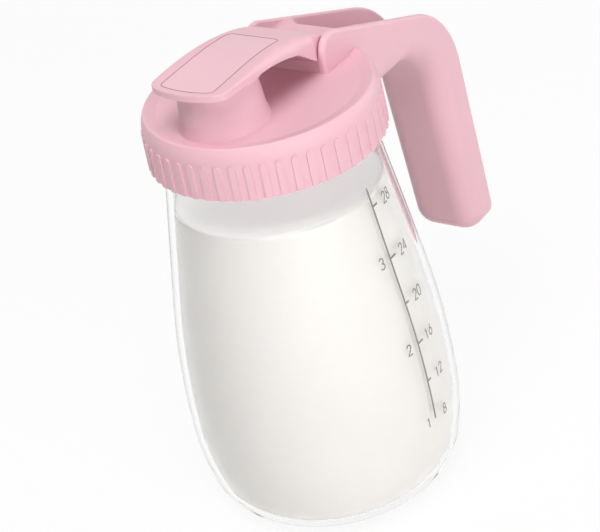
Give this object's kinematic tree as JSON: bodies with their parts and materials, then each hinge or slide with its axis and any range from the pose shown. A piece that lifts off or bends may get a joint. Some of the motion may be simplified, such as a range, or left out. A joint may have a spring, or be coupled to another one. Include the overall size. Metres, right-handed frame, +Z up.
{
  "type": "pitcher",
  "caption": "Clear lidded milk pitcher with a ribbed screw lid, a channelled side handle and a hinged flip cap over a short spout.",
  "frame": {"origin": "centre of the jar's base", "axes": "+Z up along the jar, +X towards the handle, the spout at -X"},
  "size_m": [0.1695, 0.1064, 0.1902],
  "materials": {
    "clear_glass": "clear gloss",
    "pink_plastic": "fine satin",
    "white_silicone": "matte",
    "steel": "ground"
  },
  "bodies": {
    "jar_body": {"jar": "clear_glass"},
    "lid_seal": {"lid_gasket": "white_silicone"},
    "lid": {"screw_lid": "pink_plastic", "handle": "pink_plastic", "hinge_pin": "steel"},
    "cap": {"flip_cap": "pink_plastic", "cap_inlay": "pink_plastic", "spout_plug": "pink_plastic", "plug_seal": "white_silicone"}
  },
  "joints": [
    {"name": "lid_lift", "type": "slide", "parent": "jar_body", "child": "lid_seal", "axis": [0, 0, 1], "range_m": [0, 0.0055]},
    {"name": "lid_turn", "type": "hinge", "parent": "lid_seal", "child": "lid", "pos_m": [0, 0, 0.16], "axis": [0, 0, 1], "range_deg": [0, 450]},
    {"name": "cap_flip", "type": "hinge", "parent": "lid", "child": "cap", "pos_m": [0.0252, 0, 0.177], "axis": [0, 1, 0], "range_deg": [0, 110]}
  ],
  "couplings": [
    {"joint": "lid_lift", "follows": "lid_turn", "m_per_rad": 0.00063662}
  ]
}
